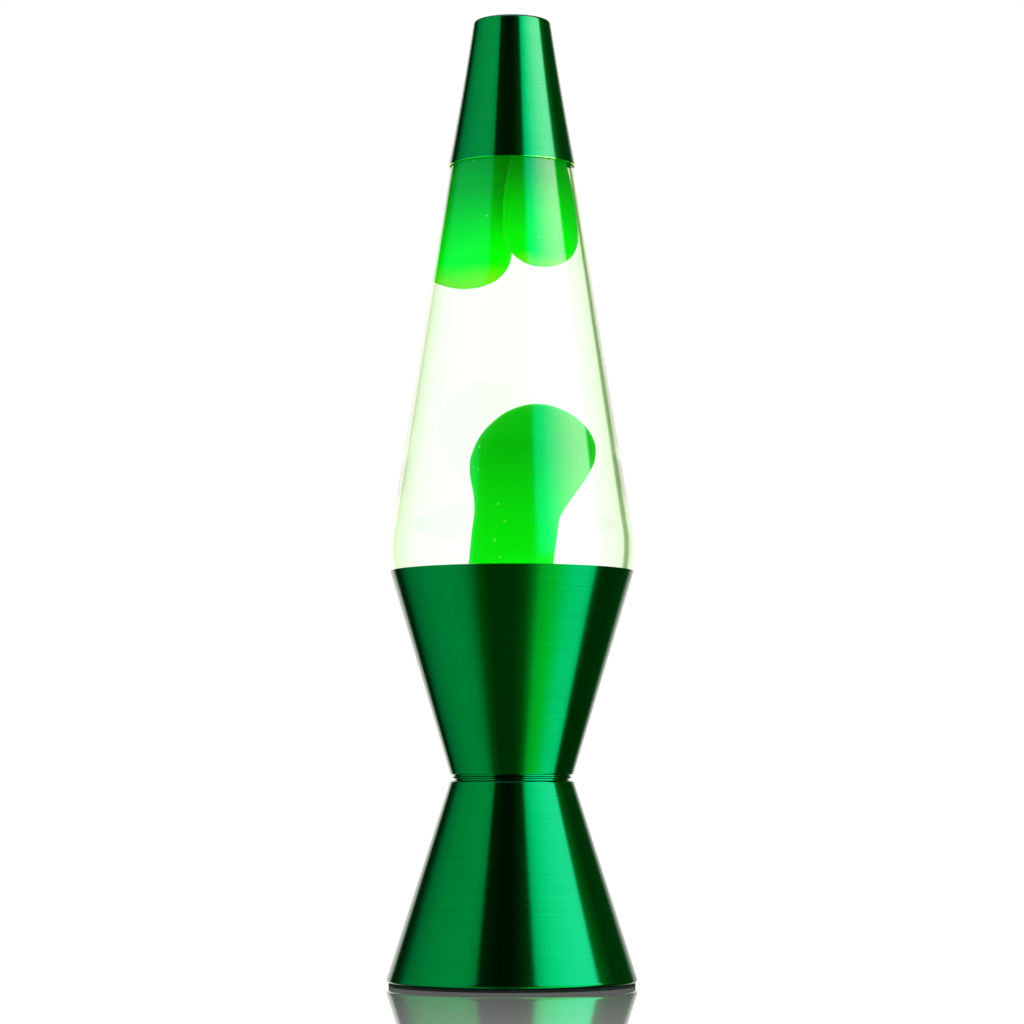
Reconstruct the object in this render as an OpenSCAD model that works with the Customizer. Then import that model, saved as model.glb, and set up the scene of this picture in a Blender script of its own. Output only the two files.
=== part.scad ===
// Lava lamp: spun metal base and cap, a sealed glass globe of liquid and wax,
// and the lamp and lampholder that warm it from below.
// Millimetres, +Z up, origin on the floor at the middle of the base, front at -Y.

/* [Overall] */
// Height from the floor to the top of the cap
total_h = 368.3; // [366:0.1:371]
// Smoothness of every round part
$fn = 96; // [32:8:160]

/* [Cap] */
// Radius of the cap's flat top before its edge is rounded
cap_top_r = 14.7; // [14:0.1:15.5]
// Outer radius at the cap's open rim
cap_rim_r = 24.3; // [24.2:0.1:25.5]
// Length of the cap from top to rim
cap_len = 56.4; // [52:0.2:58]
// How far the cap's side bows in from a straight cone
cap_flare = 0.28; // [0:0.02:0.6]
// Sheet thickness of the cap
cap_wall = 0.5; // [0.3:0.05:0.6]

/* [Glass globe] */
// Largest outer radius of the globe
belly_r = 46.45; // [46:0.05:46.5]
// Height of the widest point above the floor
belly_z = 165.5; // [165:0.1:166]
// Radius of the curve between the two tapers
belly_arc = 41.5; // [35:0.5:43]
// Angle of the upper taper from vertical
upper_taper = 9.15; // [9.1:0.05:9.6]
// Angle of the lower taper from vertical
lower_taper = 16.6; // [16.6:0.1:18]
// Height of the globe's foot ring above the floor
globe_foot_z = 127.5; // [127:0.5:132]
// Glass thickness
glass_wall = 2.4; // [2:0.1:3]
// Outer radius of the neck
neck_r = 12.4; // [12:0.1:12.6]
// Height of the neck's lip above the floor
lip_z = 361.9; // [361:0.1:362.2]
// Level of the liquid in the neck
fill_z = 346; // [343:1:352]

/* [Wax] */
// Radius of the head of the rising column
head_r = 18; // [14:0.5:18.5]
// Height of the middle of that head
head_z = 199.8; // [198:0.1:202]
// How far the head leans off the axis
head_lean = 6.5; // [0:0.1:7]

/* [Base] */
// Outer radius of the cup's rim
cup_rim_r = 46.3; // [46.3:0.05:47]
// Height of the cup's rim above the floor
cup_rim_z = 156.4; // [156:0.1:156.6]
// Outer radius of the cup's lower edge
cup_foot_r = 23.2; // [23:0.1:23.4]
// Sheet thickness of the cup
cup_wall = 0.55; // [0.5:0.05:0.6]
// Height of the skirt's flat top above the floor
waist_z = 77.15; // [76.8:0.05:77.4]
// Radius where the skirt's side would meet its top
skirt_top_r = 23.3; // [23.1:0.1:23.5]
// Largest radius of the skirt, at its rolled rim
skirt_rim_r = 47.45; // [47:0.05:48]
// Sheet thickness of the skirt
skirt_wall = 0.7; // [0.6:0.05:0.8]
// Height of the black ring that the lamp stands on
ring_h = 1.25; // [1:0.05:1.5]

/* [Lamp] */
// Largest radius of the lamp's bulb
bulb_r = 17.5; // [15:0.5:18]
// Height of the lamp from contact to top
bulb_len = 58; // [55:0.5:58]
// Pitch of the lamp's screw
thread_pitch = 2.822; // [2.7:0.001:3]

/* [Hidden] */

arc_step = 6;
eps = 0.01;
deep = 1;

// cap
cap_rim_z = total_h - cap_len;
cap_edge_r = 1.4;
cap_steps = 7;

// globe
pushup = 3;
heel_r = 7;
shoulder_z = 317;
shoulder_arc = 18;
neck_z = 336;
neck_arc = 14;
bead_z = 356.6;
bead_r = 13.25;
liquid_gap = 0.1;
wax_gap = 0.3;

// crown cap
crown_top_z = lip_z + 0.95;
crown_h = 6;
crown_r = 14.3;
crown_sheet = 0.3;
crown_side_r = bead_r + 0.35;
crown_edge_r = 2.2;
crown_flutes = 21;
flute_h = 2.2;
liner_r = 11.2;

// heating coil in the foot of the globe
coil_ring_r = 30;
coil_wire_r = 1.8;
coil_z = globe_foot_z + glass_wall + coil_wire_r + 0.6;

// waist
ring_lip_r = 22.6;
ring_lip_h = 0.4;
ring_bevel = 0.3;
ring_neck = 1;
ring_neck_h = 0.6;
ring_step = 0.35;
cup_foot_z = 79.25;
waist_hole_r = 14;
waist_pcd_r = 18;
waist_screw_count = 3;
m3_r = 1.5;
m3_hole_r = 1.6;
m3_nut_r = 3.175;
m3_nut_h = 2.4;
m3_head_r = 2.8;
m3_head_h = 2;

// lampholder
contact_z = 59.5;
bulb_top_z = contact_z + bulb_len;
holder_foot_z = 50;
holder_top_z = 79;
holder_r = 13;
holder_bore_r = 9.3;
holder_floor_z = contact_z - 3;
well_r = 7.6;
flat_y = 11;
pocket_w = 10;
pocket_h = 11;
terminal_w = 6.4;
terminal_h = 8;
terminal_t = 0.8;
terminal_z = holder_foot_z + 6;
rivet_x = -4;
rivet_r = 1.2;
rivet_hole_r = 1.25;
contact_w = 5;
contact_t = 0.4;
bracket_t = 1;
bracket_leg_x = 13.6;
bracket_leg_w = 10;
bracket_top_z = waist_z - skirt_wall;
bracket_flange_r = 20.4;
bracket_z = bracket_top_z - bracket_t;
spring_t = 0.5;
m4_r = 1.95;
m4_hole_r = 2;
m4_depth = 5;
m4_head_r = 3.5;
m4_head_h = 2.2;
m4_washer_t = 0.7;
head_slot_w = 0.6;

// screw thread of the lamp and its holder
thread_minor = 7.56;
thread_amp = 0.38;
thread_gap = 0.25;
thread_segs = 24;
thread_rows = 6;
thread_fade = 1.4;
base_inner_r = 7.2;
base_foot_z = 63.6;
sleeve_z = 76.8;
sleeve_r = 8;
sleeve_top_z = 80.5;
shell_foot_z = 62.4;
shell_top_z = 76.5;
shell_r = 9;
neck_glass_r = 7.1;
tip_r = 3.2;
tip_h = 1.3;
insulator_r = 7.1;
insulator_collar_h = 1.4;

// cord bushing in the back of the skirt
bushing_z = 15;
bushing_bore_r = 2.9;
bushing_barrel_r = 3.95;
bushing_hole_r = 4;
bushing_flange_r = 5.6;
bushing_out = 1.8;
bushing_in = 4.3;
bushing_seat = 0.05;
bushing_bevel = 0.6;
snap_r = 5.1;
snap_in = 3.2;
snap_h = 2;

// base plate and its ring
ring_r = 46.5;
plate_r = 44.2;
plate_t = 1;
plate_gap = 0.1;
ring_tread = 3.4;
ring_lip_t = 1.3;
ring_rise = 1.9;
vent_count = 6;
vent_r = 3;
vent_pcd_r = 26;

skirt_slope = (skirt_rim_r - skirt_top_r) / (waist_z - 2.2);
skirt_tilt = atan(skirt_slope);
function skirt_r_at(z) = skirt_top_r + (waist_z - z) * skirt_slope;

// ---- outlines: points are [radius, height], with a corner radius as third value ----

function unit(v) = v / norm(v);
function flat(p) = [p[0], p[1]];
function turned(points) = [for (i = [len(points) - 1 : -1 : 0]) points[i]];

function corner(before, at, after, r) =
    let (a = unit(before - at), b = unit(after - at), half = acos(a * b) / 2)
    let (centre = at + unit(a + b) * r / sin(half))
    let (from = at + a * r / tan(half) - centre, to = at + b * r / tan(half) - centre)
    let (start = atan2(from[1], from[0]), end = atan2(to[1], to[0]))
    let (sweep = (end - start + 900) % 360 - 180, n = max(2, ceil(abs(sweep) / arc_step)))
    [for (i = [0 : n]) centre + r * [cos(start + sweep * i / n), sin(start + sweep * i / n)]];

function rounded(points) = [
    for (i = [0 : len(points) - 1])
        let (p = points[i])
        each (p[2] > 0 ? corner(flat(points[i - 1]), flat(p), flat(points[i + 1]), p[2]) : [flat(p)])
];

function side(a, b) = let (d = unit(b - a)) [-d[1], d[0]];

// The path moved sideways by d, to its left as it is walked
function beside(path, d) = [
    for (i = [0 : len(path) - 1])
        let (first = i == 0, last = i == len(path) - 1)
        let (m = side(path[last ? i - 1 : i], path[last ? i : i + 1]))
        let (k = side(path[first ? i : i - 1], path[first ? i + 1 : i]))
        path[i] + d * (m + k) / (1 + m * k)
];

module spun(outline) {
    rotate_extrude()
        polygon(outline);
}

// A sheet of thickness t on the left of the path, spun about the axis
module spun_sheet(path, t) {
    spun(concat(path, turned(beside(path, t))));
}

module ring_of(count, r, start = 0) {
    for (i = [0 : count - 1])
        rotate([0, 0, start + i * 360 / count])
            translate([r, 0, 0])
                children();
}

// ---- cap ----

function cap_r_at(z) =
    let (u = (total_h - z) / cap_len)
    cap_top_r + (cap_rim_r - cap_top_r) * u - 4 * cap_flare * u * (1 - u);

cap_path = rounded(concat(
    [[cap_rim_r, cap_rim_z, 0]],
    [for (i = [1 : cap_steps - 1])
        let (z = cap_rim_z + cap_len * i / cap_steps)
        [cap_r_at(z), z, 0]],
    [[cap_top_r, total_h, cap_edge_r], [0, total_h, 0]]
));

module cap() {
    color("seagreen")
        spun_sheet(cap_path, cap_wall);
}

// ---- globe ----

belly_half = (upper_taper + lower_taper) / 2;
belly_mid = (upper_taper - lower_taper) / 2;
belly_corner = [
    belly_r - belly_arc + belly_arc / cos(belly_half) * cos(belly_mid),
    belly_z + belly_arc / cos(belly_half) * sin(belly_mid)
];
function upper_r_at(z) = belly_corner[0] - (z - belly_corner[1]) * tan(upper_taper);
function lower_r_at(z) = belly_corner[0] - (belly_corner[1] - z) * tan(lower_taper);

globe_path = rounded([
    [0, globe_foot_z + pushup, 0],
    [14, globe_foot_z + pushup, 12],
    [27, globe_foot_z, 3],
    [lower_r_at(globe_foot_z), globe_foot_z, heel_r],
    [belly_corner[0], belly_corner[1], belly_arc],
    [upper_r_at(shoulder_z), shoulder_z, shoulder_arc],
    [neck_r, neck_z, neck_arc],
    [neck_r, bead_z, 0]
]);

finish_path = [
    [bead_r - 0.3, bead_z + 0.4],
    [bead_r, bead_z + 1],
    [bead_r, lip_z - 2],
    [bead_r - 0.4, lip_z - 0.8],
    [bead_r - 1.4, lip_z],
    [neck_r - glass_wall + 0.8, lip_z],
    [neck_r - glass_wall, lip_z - 0.8]
];

module glass_globe() {
    color("honeydew", 0.35)
        spun(concat(globe_path, finish_path, turned(beside(globe_path, glass_wall))));
}

// Everything inside the glass up to the neck's bead, kept gap away from it
module globe_inside(gap) {
    inner = beside(globe_path, glass_wall + gap);
    spun(concat(inner, [[0, bead_z]]));
}

module lava_liquid() {
    color("palegreen", 0.4)
        difference() {
            intersection() {
                globe_inside(liquid_gap);
                cylinder(h = fill_z, r = belly_r);
            }
            below_pool_top(wax_gap);
            column(wax_gap);
            blob_left(wax_gap);
            blob_right(wax_gap);
        }
}

// ---- wax ----

// Outline of two balls wrapped by one skin: foot_r at height 0, top_r at height apart
function pear(foot_r, top_r, apart) =
    let (a = asin((foot_r - top_r) / apart), n = 8)
    concat(
        [for (i = [0 : n]) let (t = -90 + (90 + a) * i / n) foot_r * [cos(t), sin(t)]],
        [for (i = [0 : n]) let (t = a + (90 - a) * i / n) [top_r * cos(t), apart + top_r * sin(t)]]
    );

// A pear from one ball's middle to the other's, each ball given as [[x, y, z], radius]
module wax_pear(foot, top, grow = 0) {
    run = top[0] - foot[0];
    tilt = acos(run[2] / norm(run));
    turn = atan2(run[1], run[0]);
    translate(foot[0])
        rotate([0, tilt, turn])
            spun(pear(foot[1] + grow, top[1] + grow, norm(run)));
}

stem_low = [[-0.7, 0, 156], 12.4];
stem_top = [[1.2, 0, 174], 12];
head_low = [[1.2, 0, 174], 12.1];
head_top = [[head_lean, 0, head_z], head_r];

left_low = [[-12.1, 6, 274.9], 12.1];
left_top = [[-9.3, 5.4, 311], 9.6];
right_low = [[9.5, -5.8, 282.6], 12];
right_top = [[8.6, -5.2, 311], 9.9];

pool_z = 141;
pool_rise = 19;
pool_flat_r = 34;
pool_stem_r = 10.5;
pool_steps = 8;

// The pool's surface, which sweeps up into the foot of the column
pool_fillet = [
    for (i = [0 : pool_steps])
        [pool_flat_r + (pool_stem_r - pool_flat_r) * i / pool_steps,
            pool_z + pool_rise * pow(i / pool_steps, 4)]
];

// Everything lower than the pool's surface, out past the glass
module below_pool_top(grow = 0) {
    surface = [for (p = pool_fillet) p + [grow, grow]];
    spun(concat([[0, 0], [belly_r, 0], [belly_r, pool_z + grow]], surface,
        [[0, pool_z + pool_rise + grow]]));
}

module wax_pool() {
    intersection() {
        globe_inside(wax_gap);
        below_pool_top();
    }
}

module column(grow = 0) {
    wax_pear(stem_low, stem_top, grow);
    wax_pear(head_low, head_top, grow);
}

module blob_left(grow = 0) {
    wax_pear(left_low, left_top, grow);
}

module blob_right(grow = 0) {
    wax_pear(right_low, right_top, grow);
}

module wax_column() {
    color("limegreen")
        difference() {
            union() {
                wax_pool();
                column();
            }
            coil(0.2);
        }
}

module wax_blob_left() {
    color("limegreen")
        blob_left();
}

module wax_blob_right() {
    color("lawngreen")
        blob_right();
}

module coil(grow = 0) {
    translate([0, 0, coil_z])
        rotate_extrude()
            translate([coil_ring_r, 0])
                circle(r = coil_wire_r + grow, $fn = 24);
}

module heat_coil() {
    color("silver")
        coil();
}

// ---- crown cap ----

module crown_cap() {
    foot_z = crown_top_z - crown_h;
    path = rounded([
        [crown_r, foot_z, 0],
        [crown_side_r, foot_z + flute_h, crown_edge_r],
        [crown_side_r, crown_top_z, crown_edge_r],
        [0, crown_top_z, 0]
    ]);
    color("gainsboro") {
        spun_sheet(path, crown_sheet);
        ring_of(crown_flutes, crown_r - 0.35)
            translate([0, 0, foot_z])
                cylinder(h = flute_h, r1 = 0.6, r2 = 0.3, $fn = 16);
    }
}

module crown_liner() {
    color("lightgrey")
        translate([0, 0, lip_z])
            cylinder(h = crown_top_z - crown_sheet - lip_z, r = liner_r);
}

// ---- base ----

cup_path = rounded([
    [waist_hole_r, cup_foot_z, 0],
    [cup_foot_r, cup_foot_z, 0.7],
    [cup_rim_r, cup_rim_z, 0]
]);

module cup() {
    color("seagreen")
        difference() {
            spun_sheet(cup_path, cup_wall);
            waist_holes();
        }
}

module waist_holes() {
    ring_of(waist_screw_count, waist_pcd_r, 30)
        translate([0, 0, bracket_z - deep])
            cylinder(h = cup_foot_z - bracket_z + 3 * deep, r = m3_hole_r, $fn = 32);
}

module waist_ring() {
    lip_foot_z = waist_z + ring_neck_h + ring_bevel;
    color("darkgreen")
        difference() {
            spun([
                [waist_hole_r, waist_z],
                [ring_lip_r - ring_neck, waist_z],
                [ring_lip_r - ring_neck, lip_foot_z - ring_bevel],
                [ring_lip_r, lip_foot_z],
                [ring_lip_r, lip_foot_z + ring_lip_h],
                [ring_lip_r - ring_step, lip_foot_z + ring_lip_h + ring_bevel],
                [ring_lip_r - ring_step, cup_foot_z],
                [waist_hole_r, cup_foot_z]
            ]);
            waist_holes();
        }
}

skirt_path = rounded([
    [skirt_rim_r - 1.7, ring_h + 0.1, 0],
    [skirt_rim_r + 0.3, ring_h + 0.1, 1.2],
    [skirt_top_r, waist_z, 1.2],
    [waist_hole_r, waist_z, 0]
]);

module skirt() {
    color("mediumseagreen")
        difference() {
            spun_sheet(skirt_path, skirt_wall);
            waist_holes();
            at_bushing()
                translate([0, 0, -4 * deep])
                    cylinder(h = 8 * deep, r = bushing_hole_r, $fn = 48);
        }
}

// Local frame on the skirt's back wall, +Z straight out of the sheet
module at_bushing() {
    translate([0, skirt_r_at(bushing_z), bushing_z])
        rotate([skirt_tilt - 90, 0, 0])
            children();
}

module cord_bushing() {
    color("black")
        at_bushing()
            spun([
                [bushing_bore_r, -bushing_in],
                [bushing_barrel_r, -bushing_in],
                [bushing_barrel_r, -snap_in],
                [snap_r, -snap_in],
                [snap_r, snap_h - snap_in],
                [bushing_barrel_r, snap_h - snap_in],
                [bushing_barrel_r, bushing_seat],
                [bushing_flange_r, bushing_seat],
                [bushing_flange_r, bushing_out - bushing_bevel],
                [bushing_flange_r - bushing_bevel, bushing_out],
                [bushing_bore_r, bushing_out]
            ]);
}

module base_ring() {
    lip_r = plate_r + plate_gap;
    color("black")
        spun(rounded([
            [plate_r - ring_tread, 0, 0],
            [ring_r, 0, 0.3],
            [ring_r, ring_h, 0.2],
            [lip_r + ring_lip_t, ring_h, 0],
            [lip_r + ring_lip_t, ring_h + ring_rise, 0.5],
            [lip_r, ring_h + ring_rise, 0],
            [lip_r, ring_h, 0],
            [plate_r - ring_tread, ring_h, 0]
        ]));
}

module base_plate() {
    color("dimgray")
        translate([0, 0, ring_h])
            difference() {
                cylinder(h = plate_t, r = plate_r);
                ring_of(vent_count, vent_pcd_r)
                    translate([0, 0, -deep])
                        cylinder(h = plate_t + 2 * deep, r = vent_r, $fn = 32);
            }
}

// ---- waist fasteners ----

module pan_head(r, h) {
    difference() {
        union() {
            cylinder(h = h * 0.6, r = r, $fn = 48);
            translate([0, 0, h * 0.6])
                cylinder(h = h * 0.4, r1 = r, r2 = r * 0.72, $fn = 48);
        }
        for (a = [0, 90])
            rotate([0, 0, a])
                translate([-r * 0.55, -head_slot_w / 2, h * 0.4])
                    cube([r * 1.1, head_slot_w, h]);
    }
}

module waist_screws() {
    foot_z = bracket_z - 3.7;
    color("silver")
        ring_of(waist_screw_count, waist_pcd_r, 30) {
            translate([0, 0, foot_z])
                cylinder(h = cup_foot_z + cup_wall - foot_z + eps, r = m3_r, $fn = 32);
            translate([0, 0, cup_foot_z + cup_wall])
                pan_head(m3_head_r, m3_head_h);
        }
}

module waist_nuts() {
    color("silver")
        ring_of(waist_screw_count, waist_pcd_r, 30)
            translate([0, 0, bracket_z - spring_t - m3_nut_h])
                difference() {
                    cylinder(h = m3_nut_h, r = m3_nut_r, $fn = 6);
                    translate([0, 0, -deep])
                        cylinder(h = m3_nut_h + 2 * deep, r = m3_r, $fn = 32);
                }
}

module split_washer(inner_r, outer_r, t) {
    difference() {
        cylinder(h = t, r = outer_r, $fn = 48);
        translate([0, 0, -deep])
            cylinder(h = t + 2 * deep, r = inner_r, $fn = 48);
        rotate([30, 0, 0])
            translate([0, -0.25, -5 * t])
                cube([2 * outer_r, 0.5, 10 * t]);
    }
}

module waist_washers() {
    color("gray")
        ring_of(waist_screw_count, waist_pcd_r, 30)
            translate([0, 0, bracket_z - spring_t])
                split_washer(m3_r + 0.05, m3_nut_r - 0.3, spring_t);
}

// ---- lampholder ----

module socket_bracket() {
    color("lightsteelblue")
        difference() {
            union() {
                translate([0, 0, bracket_z])
                    difference() {
                        cylinder(h = bracket_t, r = bracket_flange_r);
                        translate([0, 0, -deep])
                            cylinder(h = bracket_t + 2 * deep, r = bracket_leg_x);
                    }
                for (s = [-1, 1])
                    translate([s * (bracket_leg_x + bracket_t / 2), 0,
                        (bracket_top_z + holder_foot_z - bracket_t) / 2])
                        cube([bracket_t, bracket_leg_w,
                            bracket_top_z - holder_foot_z + bracket_t], center = true);
                translate([-bracket_leg_x - bracket_t / 2, -bracket_leg_w / 2,
                    holder_foot_z - bracket_t])
                    cube([2 * bracket_leg_x + bracket_t, bracket_leg_w, bracket_t]);
            }
            waist_holes();
            translate([0, 0, holder_foot_z - 2 * bracket_t])
                cylinder(h = 3 * bracket_t, r = m4_hole_r + 0.1, $fn = 48);
        }
}

module socket_body() {
    color("ivory")
        difference() {
            spun(rounded([
                [0, holder_foot_z, 0],
                [holder_r, holder_foot_z, 0.8],
                [holder_r, holder_top_z, 1.2],
                [holder_bore_r, holder_top_z, 0.6],
                [holder_bore_r, shell_foot_z - 0.4, 0],
                [well_r, shell_foot_z - 0.4, 0],
                [well_r, holder_floor_z, 0],
                [0, holder_floor_z, 0]
            ]));
            translate([0, 0, holder_foot_z - deep])
                cylinder(h = m4_depth + deep, r = m4_hole_r, $fn = 48);
            translate([rivet_x, 0, holder_foot_z - deep])
                cylinder(h = holder_floor_z - holder_foot_z + 2 * deep, r = rivet_hole_r,
                    $fn = 32);
            for (s = [-1, 1])
                translate([-pocket_w / 2, s > 0 ? flat_y : -holder_r - deep,
                    holder_foot_z - deep])
                    cube([pocket_w, holder_r - flat_y + deep, pocket_h + deep]);
            for (s = [-1, 1])
                translate([0, s * flat_y, terminal_z])
                    rotate([s * 90, 0, 0])
                        cylinder(h = 2.2, r = m3_hole_r, $fn = 32);
        }
}

// A tube whose wall carries a helical ridge on its outside (male) or inside (female).
// The ridge fades out at both ends. The other face is a plain cylinder of radius plain_r.
module threaded_tube(foot_z, top_z, foot_fade_z, top_fade_z, minor, plain_r, male, sleeve) {
    rows = ceil((top_z - foot_z) / thread_pitch * thread_rows);
    function height(i) = foot_z + (top_z - foot_z) * i / rows;
    function fade(z) =
        min(1, max(0, min((z - foot_fade_z) / thread_fade, (top_fade_z - z) / thread_fade)));
    function crest(a, z) = 1 + cos(360 * z / thread_pitch - a);
    function ridge(a, z) =
        male
            ? (z > top_fade_z + eps
                ? sleeve
                : minor + thread_amp * fade(z) * crest(a, z))
            : minor + 2 * thread_amp - thread_amp * fade(z) * (2 - crest(a, z));
    function spot(r, a, z) = [r * cos(a), r * sin(a), z];
    ridge_points = [
        for (i = [0 : rows])
            for (j = [0 : thread_segs - 1])
                let (a = j * 360 / thread_segs, z = height(i))
                spot(ridge(a, z), a, z)
    ];
    plain_points = [
        for (i = [0, rows])
            for (j = [0 : thread_segs - 1])
                spot(plain_r, j * 360 / thread_segs, height(i))
    ];
    first = len(ridge_points);
    function ring(base, i, j) = base + i * thread_segs + j % thread_segs;
    // Two triangles of a band between ring i and i + 1, seen from outside
    function band(base, i, j) = [
        [ring(base, i, j), ring(base, i + 1, j), ring(base, i + 1, j + 1)],
        [ring(base, i, j), ring(base, i + 1, j + 1), ring(base, i, j + 1)]
    ];
    // The flat ring that closes an end, between ridge ring a and plain ring b
    function end(a, b) = [
        for (j = [0 : thread_segs - 1])
            each [
                [ring(0, a, j), ring(0, a, j + 1), ring(first, b, j + 1)],
                [ring(0, a, j), ring(first, b, j + 1), ring(first, b, j)]
            ]
    ];
    ridge_faces = [for (i = [0 : rows - 1]) for (j = [0 : thread_segs - 1]) each band(0, i, j)];
    plain_faces = [for (j = [0 : thread_segs - 1]) each band(first, 0, j)];
    outward = concat(
        ridge_faces,
        [for (f = plain_faces) turned(f)],
        end(0, 0),
        [for (f = end(rows, 1)) turned(f)]
    );
    polyhedron(
        points = concat(ridge_points, plain_points),
        faces = male ? outward : [for (f = outward) turned(f)],
        convexity = 10
    );
}

module socket_shell() {
    color("gold")
        threaded_tube(shell_foot_z, shell_top_z, shell_foot_z, shell_top_z,
            thread_minor + thread_gap, shell_r, false, 0);
}

module socket_contact() {
    low_z = holder_floor_z + contact_t / 2;
    high_z = contact_z - 0.1 - contact_t / 2;
    path = [[rivet_x - 2.5, low_z], [rivet_x + 2, low_z], [0.8, high_z], [4, high_z]];
    color("gold")
        difference() {
            rotate([90, 0, 0])
                linear_extrude(height = contact_w, center = true)
                    polygon(concat(beside(path, contact_t / 2),
                        turned(beside(path, -contact_t / 2))));
            translate([rivet_x, 0, low_z - deep])
                cylinder(h = 2 * deep, r = rivet_hole_r, $fn = 32);
        }
}

module contact_rivet() {
    head_z = holder_floor_z + contact_t;
    color("goldenrod")
        translate([rivet_x, 0, 0]) {
            translate([0, 0, holder_foot_z])
                cylinder(h = head_z + 0.05 - holder_foot_z, r = rivet_r, $fn = 32);
            translate([0, 0, head_z])
                cylinder(h = 0.5, r1 = 2, r2 = 1.4, $fn = 32);
        }
}

module socket_terminals() {
    color("gold")
        for (s = [-1, 1])
            difference() {
                translate([-terminal_w / 2, s > 0 ? flat_y : -flat_y - terminal_t,
                    terminal_z - terminal_h / 2])
                    cube([terminal_w, terminal_t, terminal_h]);
                translate([0, s * (flat_y - deep), terminal_z])
                    rotate([s * -90, 0, 0])
                        cylinder(h = terminal_t + 2 * deep, r = m3_hole_r, $fn = 32);
            }
}

module terminal_screws() {
    reach = 2.4;
    color("goldenrod")
        for (s = [-1, 1])
            translate([0, s * (flat_y + terminal_t), terminal_z])
                rotate([s * -90, 0, 0]) {
                    pan_head(2.5, 1.6);
                    translate([0, 0, -reach])
                        cylinder(h = reach + eps, r = m3_r, $fn = 32);
                }
}

module socket_screw() {
    head_z = holder_foot_z - bracket_t - m4_washer_t;
    color("silver") {
        translate([0, 0, head_z])
            rotate([180, 0, 0])
                pan_head(m4_head_r, m4_head_h);
        translate([0, 0, head_z - eps])
            cylinder(h = holder_foot_z + m4_depth - 0.5 - head_z, r = m4_r, $fn = 48);
    }
}

module socket_washer() {
    color("gray")
        translate([0, 0, holder_foot_z - bracket_t - m4_washer_t])
            split_washer(m4_r + 0.1, m4_head_r + 0.1, m4_washer_t);
}

// ---- lamp ----

bulb_path = rounded([
    [neck_glass_r, 77.6, 0],
    [neck_glass_r, 82, 6],
    [bulb_r, bulb_top_z - 23.5, 10],
    [bulb_r, bulb_top_z, bulb_r - 0.1],
    [0, bulb_top_z, 0]
]);

module bulb_glass() {
    color("white", 0.4)
        spun_sheet(bulb_path, 0.6);
}

module bulb_base() {
    color("gold")
        threaded_tube(base_foot_z, sleeve_top_z, base_foot_z + 0.4, sleeve_z,
            thread_minor, base_inner_r, true, sleeve_r);
}

module bulb_insulator() {
    color("black")
        spun([
            [0, contact_z + tip_h + plate_gap],
            [tip_r + 0.2, contact_z + tip_h + plate_gap],
            [insulator_r, base_foot_z],
            [insulator_r, base_foot_z + insulator_collar_h],
            [0, base_foot_z + insulator_collar_h]
        ]);
}

module bulb_tip() {
    color("lightgray")
        spun(rounded([
            [0, contact_z, 0],
            [tip_r, contact_z, 1],
            [tip_r, contact_z + tip_h, 0],
            [0, contact_z + tip_h, 0]
        ]));
}

stem_foot_z = 77.8;
stem_top_z = 92;

module bulb_stem() {
    color("white", 0.5)
        spun(rounded([[0, stem_foot_z, 0], [neck_glass_r - 0.7, stem_foot_z, 0],
            [neck_glass_r - 0.7, stem_foot_z + 1, 0], [2.6, stem_foot_z + 5, 3],
            [2.2, stem_top_z, 0.8], [0, stem_top_z, 0]]));
}

filament_z = 103;
filament_r = 7;
filament_wire = 0.35;
lead_r = 0.4;
lead_foot = 2;

// A straight wire from a to b
module wire(a, b, r) {
    run = b - a;
    translate(a)
        rotate([0, acos(run[2] / norm(run)), atan2(run[1], run[0])])
            cylinder(h = norm(run), r = r, $fn = 16);
}

module filament_leads() {
    color("gray")
        for (s = [-1, 1]) {
            wire([s * lead_foot, 0, stem_top_z + 0.1], [s * filament_r, 0, filament_z], lead_r);
            translate([s * filament_r, 0, filament_z])
                sphere(r = 0.7, $fn = 24);
        }
}

// The coiled filament bows forward between its two leads
module filament() {
    color("dimgray")
        translate([0, 0, filament_z])
            rotate([60, 0, 0])
                rotate_extrude(angle = 156, start = 12)
                    translate([filament_r, 0])
                        circle(r = filament_wire, $fn = 16);
}

cap();
crown_cap();
crown_liner();
glass_globe();
lava_liquid();
wax_column();
wax_blob_left();
wax_blob_right();
heat_coil();
cup();
waist_ring();
skirt();
base_plate();
base_ring();
cord_bushing();
socket_bracket();
socket_body();
socket_shell();
socket_contact();
contact_rivet();
socket_terminals();
terminal_screws();
socket_screw();
socket_washer();
waist_screws();
waist_nuts();
waist_washers();
bulb_glass();
bulb_base();
bulb_insulator();
bulb_tip();
bulb_stem();
filament_leads();
filament();
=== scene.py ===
import math

import bmesh
import bpy
from bpy.props import FloatProperty, FloatVectorProperty, IntProperty, PointerProperty
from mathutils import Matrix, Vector, noise


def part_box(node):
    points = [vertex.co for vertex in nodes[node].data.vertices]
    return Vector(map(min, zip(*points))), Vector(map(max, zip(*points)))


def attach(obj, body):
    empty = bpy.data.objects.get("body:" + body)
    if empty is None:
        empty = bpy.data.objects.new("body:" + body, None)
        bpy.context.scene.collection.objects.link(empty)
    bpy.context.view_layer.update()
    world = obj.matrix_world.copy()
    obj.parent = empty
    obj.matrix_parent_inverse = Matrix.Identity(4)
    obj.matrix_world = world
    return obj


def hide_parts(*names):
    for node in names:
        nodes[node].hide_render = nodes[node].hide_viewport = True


bl_info = {
    "name": "Lava lamp looks",
    "version": (1, 0, 0),
    "blender": (4, 5, 0),
    "location": "3D View > Sidebar > Lava lamp",
    "description": "Finishes the lava lamp's spun metal, glass, liquid, wax and lampholder",
    "category": "Object",
}

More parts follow.
